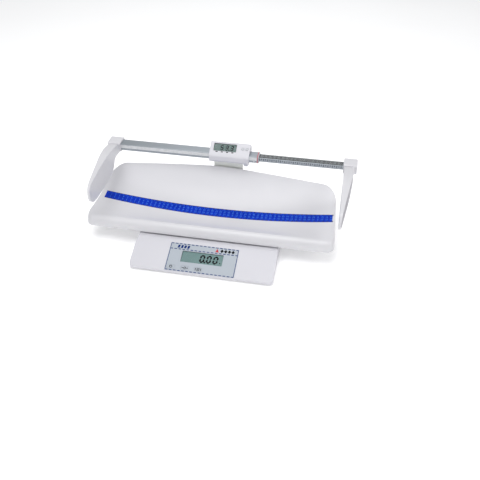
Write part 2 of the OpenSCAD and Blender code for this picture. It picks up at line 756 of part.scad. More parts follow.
module head_paddle() {
    color([0.92, 0.92, 0.94]) difference() {
        translate([socket_l - 2, 0, 0]) mirror([1, 0, 0]) union() {
            paddle_blade();
            socket_block(sleeve_d + 0.1, sleeve_h + 0.1);
        }
        for (x = [-12, -4]) translate([socket_l + x, rod_y, block_z0 - 1]) cylinder(h = 8, r = 1.7);
    }
}

module head_paddle_screws() {
    color([0.7, 0.7, 0.72]) for (x = [-12, -4])
        translate([socket_l + x, rod_y, block_z0]) screw(1.5, 4.5, 2.8, 1.4);
}

module foot_paddle() {
    color([0.92, 0.92, 0.94]) difference() {
        translate([socket_r + 2, 0, 0]) union() {
            paddle_blade();
            socket_block(bar_d + 0.1, bar_h + 0.6);
        }
        for (x = [8, 16]) translate([socket_r + x, rod_y, block_z0 - 1]) cylinder(h = 12, r = 1.7);
    }
}

module foot_paddle_screws() {
    color([0.7, 0.7, 0.72]) for (x = [8, 16])
        translate([socket_r + x, rod_y, block_z0]) screw(1.5, 7.5, 2.8, 1.4);
}

module inner_bar() {
    color([0.8, 0.82, 0.83]) difference() {
        box_yz(bar_x0, bar_x1 - 0.5, bar_d, bar_h, 1);
        box_yz(bar_x0 - 1, bar_x1 + 1, bar_d - 3.2, bar_h - 3.2, 0.5);
        for (x = [8, 16]) translate([socket_r + x, rod_y, rod_z - bar_h]) cylinder(h = bar_h, r = 1.7);
    }
}

module bar_scale() {
    color([0.9, 0.9, 0.88]) translate([bar_x0 + 12, rod_y - 8, bar_top]) cube([socket_r - bar_x0 - 13, 16, scale_t]);
}

module bar_glide() {
    color([0.95, 0.95, 0.93]) {
        box_yz(bar_x0 - 3, bar_x0, sleeve_d - 2 * sleeve_wall - 0.4, sleeve_h - 2 * sleeve_wall - 0.4, 0.6);
        box_yz(bar_x0 - eps, bar_x0 + 10, bar_d - 3.3, bar_h - 3.3, 0.4);
    }
}

// ---------- length display ----------

module disp_solid(t) {
    along_x(disp_x0 + t, disp_x1 - t)
        polygon(t > 0 ? inset(rounded(disp_prof, disp_rad, 5), t) : rounded(disp_prof, disp_rad, 5));
}

module disp_hollow() {
    difference() {
        disp_solid(0);
        disp_solid(disp_wall);
        box_yz(disp_x0 - 1, disp_x1 + 1, sleeve_d + 0.1, sleeve_h + 0.1, 1.5);
    }
}

module display_upper_shell() {
    color([0.95, 0.95, 0.96]) difference() {
        intersection() {
            disp_hollow();
            translate([disp_x0 - 1, 100, disp_split]) cube([disp_w + 2, 100, 60]);
        }
        on_face(face_lcd_x, 12.4, -5) plate(54.4, 19.4, 10, 1.2);
        for (x = button_x) on_face(x, button_mid, -6) cylinder(h = 12, r = button_r + 0.35);
        door_cut();
    }
}

module door_cut() {
    translate([disp_mid, door_y + 2, aaa_z]) rotate([90, 0, 0]) plate(door_w + 0.6, 11.6, 6, 1.5);
}

module display_lower_shell() {
    color([0.95, 0.95, 0.96]) difference() {
        union() {
            intersection() {
                disp_hollow();
                translate([disp_x0 - 1, 100, 100]) cube([disp_w + 2, 100, disp_split - 100]);
            }
            for (x = [-26, 20]) translate([bracket_x + x, 139, 149]) cylinder(h = sleeve_z0 - 149.1, r = 4.5);
            translate([lock_x, rod_y, 149]) cylinder(h = sleeve_z0 - 149.1, r = 5);
        }
        for (x = [-26, 20]) translate([bracket_x + x, 139, 140]) cylinder(h = 11, r = 1.6);
        translate([lock_x, rod_y, 140]) cylinder(h = 20, r = 2.35);
        door_cut();
    }
}

module display_window() {
    color([0.8, 0.86, 0.83, 0.35]) on_face(face_lcd_x, 12.4, -disp_wall)
        plate(54, 19, disp_wall - 0.2, 1);
}

module display_lcd() {
    color([0.36, 0.47, 0.42]) on_face(face_lcd_x, 12.6, -4.6) plate(53, 17.4, 2.2, 0.6);
}

module display_board() {
    color([0.12, 0.42, 0.2]) on_face(2.2, 15.5, -6.4) plate(58, 14, 1.6, 0.6);
}

module display_button_board() {
    color([0.12, 0.42, 0.2]) on_face(53.5, 15.5, -6.4) plate(16, 14, 1.6, 0.6);
    color([0.2, 0.2, 0.2]) for (x = button_x) on_face(x, button_mid, -4.8 - eps) cylinder(h = 1.2, r = 2);
}

module face_button(x) {
    on_face(x, button_mid, -2.4) cylinder(h = 3.2, r = button_r);
}

module display_button_power() { color([0.55, 0.6, 0.64]) face_button(button_x[0]); }

module display_button_zero() { color([0.55, 0.6, 0.64]) face_button(button_x[1]); }

module display_batteries() {
    color([0.3, 0.5, 0.35]) for (k = [0, 1])
        translate([disp_mid + (k - 1) * aaa_pitch + 0.3, aaa_y, aaa_z]) rotate([0, 90, 0]) {
            cylinder(h = aaa_len - 1, r = aaa_r);
            cylinder(h = aaa_len, r = 1.9);
        }
}

module display_battery_door() {
    color([0.93, 0.93, 0.94]) difference() {
        translate([disp_mid, door_y, aaa_z]) rotate([90, 0, 0]) plate(door_w, 11, 2, 1.2);
        for (k = [-2 : 2]) translate([disp_mid + 28 + k * 2.4, door_y - 0.6, aaa_z - 3]) cube([1.2, 2, 6]);
    }
}

module display_screws() {
    color([0.7, 0.7, 0.72]) for (x = [-26, 20])
        translate([bracket_x + x, 139, 147 - bracket_t]) screw(1.5, 6.5, 3.2, 1.4);
}

module encoder_yoke() {
    color([0.25, 0.25, 0.27]) difference() {
        for (y = [-1, 1]) translate([roller_x - 4, roller_y + y * (roller_w / 2 + 1.1) - 0.7, sleeve_z1])
            cube([8, 1.4, 4.6]);
        translate([roller_x, roller_y - 10, roller_z]) rotate([-90, 0, 0]) cylinder(h = 20, r = axle_r + 0.02);
    }
}

module encoder_axle() {
    color([0.7, 0.7, 0.72]) translate([roller_x, roller_y - roller_w / 2 - 1.8, roller_z])
        rotate([-90, 0, 0]) cylinder(h = roller_w + 3.6, r = axle_r);
}

module encoder_roller() {
    color([0.3, 0.3, 0.32]) difference() {
        translate([roller_x, roller_y - roller_w / 2, roller_z]) rotate([-90, 0, 0]) cylinder(h = roller_w, r = roller_r);
        translate([roller_x, roller_y - 10, roller_z]) rotate([-90, 0, 0]) cylinder(h = 20, r = axle_r + 0.05);
        for (a = [0 : 60 : 300]) translate([roller_x, roller_y - 10, roller_z])
            rotate([0, a, 0]) translate([3, 0, 0]) rotate([-90, 0, 0]) cylinder(h = 20, r = 0.6);
    }
}

module brake_pad() {
    color([0.92, 0.92, 0.9]) translate([lock_x, rod_y, 152.2]) cylinder(h = 2.4, r = 2.8);
}

module lock_screw() {
    color([0.6, 0.62, 0.64]) translate([lock_x, rod_y, 0]) {
        translate([0, 0, 136]) difference() {
            cylinder(h = 9.5, r = 6);
            for (a = [0 : 20 : 340]) rotate(a) translate([6.2, 0, -1]) cylinder(h = 12, r = 0.7);
        }
        translate([0, 0, 145]) cylinder(h = 6.9, r = 2.3);
    }
}

base_housing();
base_cover();
rubber_feet();
foot_screws();
case_screws();
console_label();
console_window();
main_lcd();
main_board();
board_screws();
key_switches();
key_power();
key_tare();
key_hold();
power_jack();
batteries();
battery_contacts();
battery_door();
chassis_plate();
chassis_screws();
load_cell();
load_cell_bolts();
support_spider();
overload_stops();
support_grommets();
tray();
tray_screws();
measuring_tape();
rod_bracket();
bracket_screws();
bracket_nuts();
rod_sleeve();
sleeve_end_bush();
index_ring();
sleeve_screw();
head_paddle();
head_paddle_screws();
inner_bar();
bar_scale();
bar_glide();
foot_paddle();
foot_paddle_screws();
display_upper_shell();
display_lower_shell();
display_window();
display_lcd();
display_board();
display_button_board();
display_button_power();
display_button_zero();
display_batteries();
display_battery_door();
display_screws();
encoder_yoke();
encoder_axle();
encoder_roller();
brake_pad();
lock_screw();
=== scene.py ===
import json
import math

import bmesh
import bpy
from mathutils import Matrix, Vector


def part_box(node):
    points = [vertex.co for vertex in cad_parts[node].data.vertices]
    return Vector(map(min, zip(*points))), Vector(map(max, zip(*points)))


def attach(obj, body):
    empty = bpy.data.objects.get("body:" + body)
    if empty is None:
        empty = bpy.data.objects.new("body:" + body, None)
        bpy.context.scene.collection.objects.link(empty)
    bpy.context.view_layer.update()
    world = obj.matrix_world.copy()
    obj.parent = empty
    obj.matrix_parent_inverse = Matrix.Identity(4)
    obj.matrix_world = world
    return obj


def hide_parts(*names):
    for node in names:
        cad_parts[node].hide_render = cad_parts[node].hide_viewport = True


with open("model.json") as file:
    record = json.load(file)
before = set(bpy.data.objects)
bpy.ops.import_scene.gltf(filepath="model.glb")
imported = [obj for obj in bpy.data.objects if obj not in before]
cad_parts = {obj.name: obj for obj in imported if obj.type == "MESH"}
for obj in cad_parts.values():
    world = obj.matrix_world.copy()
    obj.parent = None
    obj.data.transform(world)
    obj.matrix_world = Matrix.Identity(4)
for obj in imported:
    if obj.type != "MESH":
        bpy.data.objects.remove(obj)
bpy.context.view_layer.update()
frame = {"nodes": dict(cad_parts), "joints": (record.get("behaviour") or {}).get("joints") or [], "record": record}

MM = 0.001


# ---------- camera, lights and floor ----------

# The camera's place in metres, which way the picture's right side and top point, and its lens in mm
CAMERA_PLACE = (0.26284, -1.03698, 0.87438)
PICTURE_RIGHT = (0.98288, 0.18427, -0.00082)
PICTURE_UP = (-0.11534, 0.61866, 0.77715)
LENS, SENSOR = 43.82, 36
SKY_COLOR, SKY_STRENGTH = (0.97, 0.98, 1, 1), 0.47
# Each light: its name, its place, the point that it looks at, its diameter in metres and its power in watts
LIGHTS = [
    ("key_light", (-0.5, -1.3, 2.0), (0, 0, 0.05), 1.4, 8),
    ("fill_light", (1.6, -0.6, 1.5), (0, 0, 0.1), 1.2, 9),
    ("top_light", (0.0, -0.6, 2.4), (0, 0, 0.05), 1.6, 24),
    ("back_light", (-0.3, 1.5, 1.7), (0, 0.1, 0.1), 1.2, 6),
]


def make_camera():
    data = bpy.data.cameras.new("camera")
    data.lens = LENS
    data.sensor_width = SENSOR
    data.clip_start = 0.05
    camera = bpy.data.objects.new("camera", data)
    right, up = Vector(PICTURE_RIGHT), Vector(PICTURE_UP)
    turn = Matrix((right, up, right.cross(up))).transposed()
    camera.matrix_world = Matrix.Translation(CAMERA_PLACE) @ turn.to_4x4()
    bpy.context.scene.collection.objects.link(camera)
    bpy.context.scene.camera = camera


def area_light(name, place, target, size, power):
    data = bpy.data.lights.new(name, "AREA")
    data.shape = "DISK"
    data.size = size
    data.energy = power
    light = bpy.data.objects.new(name, data)
    aim = Vector(target) - Vector(place)
    light.matrix_world = Matrix.Translation(place) @ aim.to_track_quat("-Z", "Y").to_matrix().to_4x4()
    bpy.context.scene.collection.objects.link(light)


def make_studio():
    scene = bpy.context.scene
    scene.view_settings.view_transform = "Standard"
    world = bpy.data.worlds.new("studio")
    world.use_nodes = True
    sky = world.node_tree.nodes["Background"]
    sky.inputs["Color"].default_value = SKY_COLOR
    sky.inputs["Strength"].default_value = SKY_STRENGTH
    scene.world = world
    for light in LIGHTS:
        area_light(*light)
    bpy.ops.mesh.primitive_plane_add(size=30)
    floor = bpy.context.object
    floor.name = "floor"
    floor.data.materials.append(pale_floor())


# ---------- materials ----------

# Nearly all of a noise texture's values lie between these
NOISE_RANGE = (0.3, 0.7)


def set_sockets(node, values):
    for socket, value in values.items():
        node.inputs[socket.replace("_", " ")].default_value = value


class Shader:
    """A Principled material and the few node chains that the finishes share.

    Keyword arguments are sockets: Coat_Weight sets Coat Weight.
    """

    def __init__(self, name, **values):
        self.mat = bpy.data.materials.new(name)
        self.mat.use_nodes = True
        self.tree = self.mat.node_tree
        self.bsdf = self.tree.nodes["Principled BSDF"]
        set_sockets(self.bsdf, values)

    def add(self, kind, **values):
        node = self.tree.nodes.new(kind)
        set_sockets(node, values)
        return node

    def link(self, source, target):
        self.tree.links.new(source, target)

    def noise(self, scale, stretch=(1, 1, 1), detail=3):
        """Noise on the object's own coordinates, drawn out along the axes with a small stretch."""
        coord = self.add("ShaderNodeTexCoord")
        mapping = self.add("ShaderNodeMapping", Scale=stretch)
        noise = self.add("ShaderNodeTexNoise", Scale=scale, Detail=detail)
        self.link(coord.outputs["Object"], mapping.inputs["Vector"])
        self.link(mapping.outputs["Vector"], noise.inputs["Vector"])
        return noise.outputs["Fac"]

    def tones(self, factor, dark, light):
        """Base colour that drifts from dark to light."""
        ramp = self.add("ShaderNodeValToRGB")
        for stop, place, color in zip(ramp.color_ramp.elements, NOISE_RANGE, (dark, light)):
            stop.position = place
            stop.color = (*color, 1)
        self.link(factor, ramp.inputs["Fac"])
        self.link(ramp.outputs["Color"], self.bsdf.inputs["Base Color"])

    def roughness(self, factor, low, high):
        near, far = NOISE_RANGE
        spread = self.add("ShaderNodeMapRange", From_Min=near, From_Max=far, To_Min=low, To_Max=high)
        self.link(factor, spread.inputs["Value"])
        self.link(spread.outputs["Result"], self.bsdf.inputs["Roughness"])

    def bump(self, factor, strength, depth):
        bump = self.add("ShaderNodeBump", Strength=strength, Distance=depth)
        self.link(factor, bump.inputs["Height"])
        self.link(bump.outputs["Normal"], self.bsdf.inputs["Normal"])


def shade(color, by):
    """The colour made darker (by under 1) or lighter (by over 1)."""
    return tuple(min(1, channel * by) for channel in color)


def moulded(name, color, rough, grain, spread=0.03, coat=0.0):
    """Moulded plastic: faint cloudiness of up to spread, uneven polish and a fine spark-eroded grain."""
    s = Shader(name, Coat_Weight=coat, Coat_Roughness=0.15, IOR=1.48)
    s.tones(s.noise(9), shade(color, 1 - spread), shade(color, 1 + spread))
    s.roughness(s.noise(45), *rough)
    s.bump(s.noise(1800, detail=2), grain, 0.0001)
    return s.mat


def metal(name, color, scale, rough=(0.25, 0.4), stretch=(1, 1, 1)):
    """Bare metal with its grain drawn out along the axis with a small stretch."""
    s = Shader(name, Metallic=1.0)
    streaks = s.noise(scale, stretch, 4)
    s.tones(streaks, shade(color, 0.9), shade(color, 1.08))
    s.roughness(streaks, *rough)
    s.bump(streaks, 0.15, 0.00005)
    return s.mat


def printed(name, color):
    """Screen-printed ink or film: nearly even, with slight pigment variation."""
    s = Shader(name, Specular_IOR_Level=0.15)
    s.tones(s.noise(160), shade(color, 0.93), shade(color, 1.07))
    s.roughness(s.noise(300), 0.45, 0.6)
    s.bump(s.noise(4000, detail=1), 0.05, 0.00003)
    return s.mat


def rubber(name):
    """Black rubber: matt and slightly dusty."""
    s = Shader(name, Specular_IOR_Level=0.3)
    s.tones(s.noise(120), (0.02, 0.02, 0.022), (0.045, 0.045, 0.048))
    s.roughness(s.noise(200), 0.7, 0.9)
    s.bump(s.noise(1500), 0.4, 0.0002)
    return s.mat


def lens(name):
    """Clear plastic over a display: nearly see-through, with a faint polish."""
    s = Shader(name, Alpha=0.03, IOR=1.4, Specular_IOR_Level=0.15, Base_Color=(0.05, 0.07, 0.065, 1))
    s.roughness(s.noise(80), 0.04, 0.1)
    return s.mat


def liquid_crystal(name, color):
    """A reflective display: a cloudy grey-green field over a fine electrode mesh."""
    s = Shader(name, Coat_Weight=0.2)
    s.tones(s.noise(22), shade(color, 0.94), shade(color, 1.06))
    s.roughness(s.noise(60), 0.3, 0.42)
    s.bump(s.noise(2500, (1, 0.1, 0.1)), 0.08, 0.00003)
    return s.mat


def woven_tape(name, color):
    """Coated glass-fibre tape: a fine weave under a tough film."""
    s = Shader(name, Specular_IOR_Level=0.1)
    coord = s.add("ShaderNodeTexCoord")
    weave = s.add("ShaderNodeTexChecker", Scale=1400)
    s.link(coord.outputs["Object"], weave.inputs["Vector"])
    s.tones(s.noise(60), shade(color, 0.86), shade(color, 1.15))
    s.roughness(s.noise(200), 0.34, 0.46)
    s.bump(weave.outputs["Fac"], 0.12, 0.00008)
    return s.mat


def circuit_board(name):
    """Green solder mask over rows of tracks."""
    s = Shader(name, Roughness=0.35)
    coord = s.add("ShaderNodeTexCoord")
    tracks = s.add("ShaderNodeTexBrick", Scale=260, Color1=(0.03, 0.22, 0.08, 1),
                   Color2=(0.02, 0.16, 0.06, 1), Mortar=(0.06, 0.32, 0.12, 1))
    s.link(coord.outputs["Object"], tracks.inputs["Vector"])
    s.link(tracks.outputs["Color"], s.bsdf.inputs["Base Color"])
    s.bump(tracks.outputs["Fac"], 0.3, 0.00005)
    return s.mat


def pale_floor():
    """Pale paper that also glows a little, so that it stays an even white far from the lights."""
    s = Shader("floor_paper", Roughness=0.9, Specular_IOR_Level=0.1, Emission_Color=(1, 1, 1, 1),
               Emission_Strength=0.25)
    s.tones(s.noise(3), (0.93, 0.93, 0.93), (0.95, 0.95, 0.95))
    return s.mat


FILM_GREY = (0.42, 0.46, 0.51)
# The finish of each of the record's material slots
FINISH = {
    "white_gloss": moulded("tray_abs", (0.65, 0.645, 0.67), (0.3, 0.38), 0.04, 0.012, coat=0.1),
    "white_satin": moulded("satin_abs", (0.635, 0.63, 0.67), (0.42, 0.52), 0.12, 0.015),
    "rubber_black": rubber("foot_rubber"),
    "steel": metal("zinc_steel", (0.6, 0.61, 0.63), 400),
    "anodised": metal("anodised_extrusion", (0.36, 0.39, 0.42), 900, (0.34, 0.46), (0.02, 1, 1)),
    "machined": metal("machined_aluminium", (0.7, 0.71, 0.73), 700, (0.3, 0.42), (1, 1, 0.1)),
    "label": moulded("label_film", FILM_GREY, (0.36, 0.44), 0.06, 0.02),
    "lens": lens("clear_lens"),
    "lcd": liquid_crystal("main_lcd_field", (0.16, 0.27, 0.265)),
    "pcb": circuit_board("solder_mask"),
    "black": moulded("black_nylon", (0.03, 0.03, 0.033), (0.4, 0.55), 0.2, 0.1),
    "tape_blue": woven_tape("tape_film", (0.0, 0.028, 0.44)),
    "red": moulded("red_ring", (0.55, 0.03, 0.05), (0.3, 0.4), 0.1),
    "scale_strip": printed("ruler_film", (0.2, 0.212, 0.216)),
    "cell": moulded("battery_jacket", (0.08, 0.2, 0.12), (0.25, 0.35), 0.05, 0.2),
    "nylon": moulded("natural_nylon", (0.75, 0.75, 0.7), (0.5, 0.6), 0.15),
    "grey_button": moulded("grey_button", (0.42, 0.43, 0.46), (0.45, 0.55), 0.15),
}
# Finishes of single pieces and of the printing
# The bracket's pale greenish white is painted much lighter than the housing's satin white, to make up for the
# shade that the display and the tray cast on it: painted light
BRACKET_PAINTED_LIGHT = moulded("bracket_abs_painted_light", (0.87, 0.885, 0.845), (0.45, 0.55), 0.12, 0.02)
BUTTON = moulded("button_abs", (0.54, 0.55, 0.58), (0.45, 0.55), 0.15)
SMALL_LCD = liquid_crystal("length_lcd_field", (0.09, 0.155, 0.145))
KEY_FILM = moulded("key_film", FILM_GREY, (0.4, 0.5), 0.1, 0.02)
# A paler grey painted on the upper part of the sleeve's front face, lighter than its top, for the light that face
# catches: painted highlight
SLEEVE_PAINTED_HIGHLIGHT = printed("sleeve_painted_highlight", (0.68, 0.69, 0.7))
NAVY_INK = printed("navy_ink", (0.008, 0.03, 0.16))
RED_INK = printed("red_ink", (0.5, 0.05, 0.06))
DARK_INK = printed("dark_ink", (0.008, 0.009, 0.012))
GREY_INK = printed("grey_ink", (0.09, 0.1, 0.11))
LIGHT_INK = printed("light_ink", (0.05, 0.19, 0.72))
DEEP_INK = printed("deep_ink", (0.0, 0.003, 0.08))
# Unlit segments, a shade darker than the field of the main and of the length display
MAIN_GHOST = printed("segment_ghost", (0.152, 0.258, 0.252))
LENGTH_GHOST = printed("length_ghost", (0.075, 0.13, 0.12))
OWN_FINISH = {"rod_bracket": BRACKET_PAINTED_LIGHT, "display_button_power": BUTTON, "display_button_zero": BUTTON}
# Each CAD node's material slot and body, from the record
SLOT_OF = {row["node"]: row["material_slot"] for row in frame["record"]["subparts"]}
BODY_OF = {node: body for body, nodes in frame["record"]["behaviour"]["bodies"].items() for node in nodes}


# ---------- piece making ----------

# A CAD mesh's points that are closer than this, in metres, become one, and its edges that bend less than
# this many degrees go; edges that bend more than SHARP_EDGE degrees are rounded
WELD, FLAT_EDGE, SHARP_EDGE = 2e-6, 0.3, 32
# How thick printing stands on a label, and lit and unlit segments on a display, in mm
INK, LIT_INK, UNLIT_INK = 0.06, 0.05, 0.03


def add_piece(name, mesh, node, material, replaces=True):
    """A new piece that rides with a CAD node's body, and stands for that node if it replaces it."""
    piece = bpy.data.objects.new(name, mesh)
    bpy.context.scene.collection.objects.link(piece)
    mesh.materials.clear()
    mesh.materials.append(material)
    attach(piece, BODY_OF[node])
    if replaces:
        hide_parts(node)


def softened(node, width, material=None):
    """The CAD node's shape with its sharp edges rounded, width mm wide, in its slot's finish or its own."""
    bm = bmesh.new()
    bm.from_mesh(frame["nodes"][node].data)
    bmesh.ops.remove_doubles(bm, verts=bm.verts, dist=WELD)
    bmesh.ops.dissolve_limit(bm, angle_limit=math.radians(FLAT_EDGE), verts=bm.verts, edges=bm.edges)
    mesh = bpy.data.meshes.new(node + "_soft")
    bm.to_mesh(mesh)
    bm.free()
    rough = bpy.data.objects.new(node + "_rough", mesh)
    bpy.context.scene.collection.objects.link(rough)
    bevel = rough.modifiers.new("edges", "BEVEL")
    bevel.width = width * MM
    bevel.segments = 2
    bevel.limit_method = "ANGLE"
    bevel.angle_limit = math.radians(SHARP_EDGE)
    bevel.miter_outer = "MITER_ARC"
    rough.modifiers.new("shading", "WEIGHTED_NORMAL").keep_sharp = True
    for face in mesh.polygons:
        face.use_smooth = True
    add_piece(node + "_piece", evaluated_mesh(rough), node, material or FINISH[SLOT_OF[node]])


def evaluated_mesh(holder):
    """The final mesh of a working object, which is then removed."""
    mesh = bpy.data.meshes.new_from_object(holder.evaluated_get(bpy.context.evaluated_depsgraph_get()))
    bpy.data.objects.remove(holder)
    return mesh


def grid_mesh(name, rings, caps=()):
    """A surface over closed rings of equal length, with optional fans that close its first and last ring."""
    n = len(rings[0])
    verts = [v for ring in rings for v in ring]
    faces = []
    for k in range(len(rings) - 1):
        for i in range(n):
            a, b = k * n + i, k * n + (i + 1) % n
            faces.append((a, b, b + n, a + n))
    for ring, centre in zip((0, len(rings) - 1), caps):
        verts.append(centre)
        hub = len(verts) - 1
        for i in range(n):
            a, b = ring * n + i, ring * n + (i + 1) % n
            faces.append((hub, b, a) if ring == 0 else (hub, a, b))
    mesh = bpy.data.meshes.new(name)
    mesh.from_pydata([tuple(v) for v in verts], [], faces)
    return tidy_mesh(mesh)


def tidy_mesh(mesh, angle=40):
    """Faces turned outwards and smooth, with creases at edges sharper than angle."""
    bm = bmesh.new()
    bm.from_mesh(mesh)
    bmesh.ops.recalc_face_normals(bm, faces=bm.faces)
    bm.to_mesh(mesh)
    bm.free()
    mesh.shade_smooth()
    mesh.set_sharp_from_angle(angle=math.radians(angle))
    return mesh


class Marks:
    """Printed marks, gathered as thin closed prisms. place turns (u, v, height) in mm into a point."""

    def __init__(self, place, thick=INK):
        self.place = place
        self.thick = thick
        self.verts = []
        self.faces = []

    def shape(self, outline):
        """A simple outline of (u, v) points in mm, anticlockwise."""
        n = len(outline)
        first = len(self.verts)
        self.verts += [self.place(u, v, h) for h in (0, self.thick) for u, v in outline]
        self.faces.append([first + n + i for i in range(n)])
        self.faces.append([first + n - 1 - i for i in range(n)])
        for i in range(n):
            j = (i + 1) % n
            self.faces.append([first + i, first + j, first + n + j, first + n + i])

    def bar(self, u0, v0, u1, v1):
        self.shape([(u0, v0), (u1, v0), (u1, v1), (u0, v1)])

    def ring(self, u, v, radius, width, start=0, end=360):
        """An arc about (u, v), from start to end in degrees."""
        steps = 24
        for k in range(steps):
            a, b = (math.radians(start + (end - start) * t / steps) for t in (k, k + 1))
            inner, outer = radius - width / 2, radius + width / 2
            self.shape([(u + r * math.cos(t), v + r * math.sin(t))
                        for r, t in ((inner, a), (outer, a), (outer, b), (inner, b))])

    def number(self, text, u, v, height, turn=1):
        """Digits in the built-in face, centred on u, with their feet at v; a turn of -1 is upside down."""
        glyphs = [glyph(c) for c in text]
        x = -sum(advance for _, _, advance in glyphs) * height / 2
        for verts, faces, advance in glyphs:
            first = len(self.verts)
            self.verts += [self.place(u + turn * (x + p[0] * height), v + turn * p[1] * height,
                                      self.thick if p[2] > 0 else 0) for p in verts]
            self.faces += [[first + i for i in f] for f in faces]
            x += advance * height

    def piece(self, name, node, material):
        mesh = bpy.data.meshes.new(name)
        mesh.from_pydata([tuple(v) for v in self.verts], [], self.faces)
        add_piece(name, mesh, node, material, replaces=False)


# Characters made so far, and the gap between two of them as a share of their height
GLYPHS = {}
LETTER_GAP = 0.14


def glyph(character):
    """(points, faces, advance) of a character one unit high, as a closed slab."""
    if character not in GLYPHS:
        curve = bpy.data.curves.new("glyph", "FONT")
        curve.body = character
        curve.extrude = 0.1
        curve.resolution_u = 3
        holder = bpy.data.objects.new("glyph", curve)
        bpy.context.scene.collection.objects.link(holder)
        mesh = evaluated_mesh(holder)
        points = [v.co.copy() for v in mesh.vertices]
        tall = max(p.y for p in points)
        left = min(p.x for p in points)
        wide = max(p.x for p in points) - left
        points = [((p.x - left) / tall, p.y / tall, p.z) for p in points]
        GLYPHS[character] = (points, [list(f.vertices) for f in mesh.polygons], wide / tall + LETTER_GAP)
    return GLYPHS[character]


def slanted_plane(node, axis):
    """The plane of a thin plate tilted about X, from its box and the direction in which a button on it moves.

    Gives its matrix, with X across, Y up the slope from the lower edge and Z out of the face, and the
    plate's width, length and thickness in mm.
    """
    low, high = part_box(node)
    angle = math.atan2(axis[1], -axis[2])
    sin, cos = math.sin(angle), math.cos(angle)
    size = high - low
    spread = cos * cos - sin * sin
    length = (size.y * cos - size.z * sin) / spread
    thick = (size.z * cos - size.y * sin) / spread
    corner = Vector(((low.x + high.x) / 2, low.y + thick * sin, low.z))
    matrix = Matrix.Translation(corner) @ Matrix.Rotation(angle, 4, "X")
    return matrix, size.x / MM, length / MM, thick / MM


def on_plane(matrix, lift):
    """A place function for Marks: u, v and height in mm in that plane, raised by lift."""
    return lambda u, v, h: matrix @ Vector((u * MM, v * MM, (lift + h) * MM))


def joint_axis(name):
    """Direction in which a sliding joint moves."""
    return next(j["axis"] for j in frame["joints"] if j["name"] == name)


# ---------- seven-segment digits ----------

# The gap at a segment's ends as a share of the stroke, and how far a digit leans for each mm of height
SEGMENT_GAP, LEAN = 0.04, 0.1
# The lit segments of each digit: a at the top, then clockwise to f, and g across the middle
LIT = {"0": "abcdef", "1": "bc", "2": "abged", "3": "abgcd", "4": "fgbc", "5": "afgcd",
       "6": "afgcde", "7": "abc", "8": "abcdefg", "9": "abcdfg"}


def segment(name, w, h, t):
    """Outline of one segment of a digit w wide, h high, with strokes t thick."""
    gap = t * SEGMENT_GAP
    level = {"a": h, "g": h / 2, "d": 0}
    if name in level:
        v = min(max(level[name], t / 2), h - t / 2)
        u0, u1 = t / 2 + gap, w - t / 2 - gap
        return [(u0, v), (u0 + t / 2, v - t / 2), (u1 - t / 2, v - t / 2),
                (u1, v), (u1 - t / 2, v + t / 2), (u0 + t / 2, v + t / 2)]
    u = t / 2 if name in "ef" else w - t / 2
    v0, v1 = (h / 2 + gap, h - t / 2 - gap) if name in "bf" else (t / 2 + gap, h / 2 - gap)
    return [(u, v0), (u + t / 2, v0 + t / 2), (u + t / 2, v1 - t / 2),
            (u, v1), (u - t / 2, v1 - t / 2), (u - t / 2, v0 + t / 2)]


def draw_digits(lit, ghost, text, u, v, w, h, t, pitch):
    """Digits and their unlit segments from (u, v); a full stop goes after the digit before it."""
    for character in text:
        if character == ".":
            dot = u - (pitch - w) / 2 - t / 2
            lit.bar(dot, v, dot + t, v + t)
            continue
        for name in "abcdefg":
            outline = [(u + p + q * LEAN, v + q) for p, q in segment(name, w, h, t)]
            (lit if name in LIT[character] else ghost).shape(outline)
        u += pitch


# ---------- tray and measuring tape ----------

# All in mm. The ridge round the tray, seen from above: its corners, anticlockwise from the front left, and
# the radius of each
RIDGE_CORNERS = [(-288, -24), (281, -24), (273, 133.5), (-3.5, 143), (-280, 137)]
RIDGE_RADII = [14, 14, 32, 900, 42]
# Segments in each corner's arc, and about how far apart the ridge's points are
ARC_STEPS, RIDGE_STEP = 14, 7
# The bowl's section at mid-length: the height of its lowest line and how far back that is, its rise over
# which run to the front, and the same to the back, with the power of that curve
LOW, DIP = 46.5, 33
FRONT_RISE, FRONT_RUN = 20, 57
BACK_RISE, BACK_RUN, BACK_POWER = 74.5, 107, 1.95
# Its section at the ends: how far out they are, how much higher it starts there, and its rise to the back
END_X, END_LIFT = 280, 21.5
END_RISE, END_RUN, END_POWER = 38, 134, 2.8
# Beyond this share of END_X the section no longer changes
END_REACH = 1.02
# The tray's thickness, the depth of its lip, and the lip's reach at the sides and how much more at the front
WALL, SKIRT = 3.0, 22.5
LIP_REACH, FRONT_REACH = 4, 12
# The point that the tray's rings close on, and their sizes as shares of the ridge
MIDDLE = Vector((0, 52))
SHARES = [0.08 + 0.035 * k for k in range(20)] + [0.78, 0.81, 0.84, 0.87, 0.9, 0.93, 0.955, 0.975, 0.988, 1.0]
# Degrees down the outside of the rolled lip, and back up its inside
LIP_ANGLES = [6, 12, 20, 30, 40, 50, 60, 70, 80, 87, 90]
HEM_ANGLES = [90, 75, 55, 30, 5]
# How far the lip's edge hangs below the last ring, to round it
HEM_DROP = 0.8


def bowl(x, y):
    """Height of the bowl's surface, in mm: its section at mid-length blended into that at its ends."""
    if y < DIP:
        middle = LOW + FRONT_RISE * ((DIP - y) / FRONT_RUN) ** 2
    else:
        middle = LOW + BACK_RISE * ((y - DIP) / BACK_RUN) ** BACK_POWER
    end = LOW + END_LIFT + END_RISE * (max(y, 0) / END_RUN) ** END_POWER
    share = min(abs(x) / END_X, END_REACH) ** 2
    return middle * (1 - share) + end * share


def corner_arc(a, b, c, radius):
    """Points round the corner b of the outline that runs from a over b to c."""
    u, w = (a - b).normalized(), (c - b).normalized()
    half = u.angle(w) / 2
    centre = b + (u + w).normalized() * radius / math.sin(half)
    start = b + u * radius / math.tan(half) - centre
    turn = math.pi - 2 * half
    return [centre + Matrix.Rotation(turn * k / ARC_STEPS, 2) @ start for k in range(ARC_STEPS + 1)]


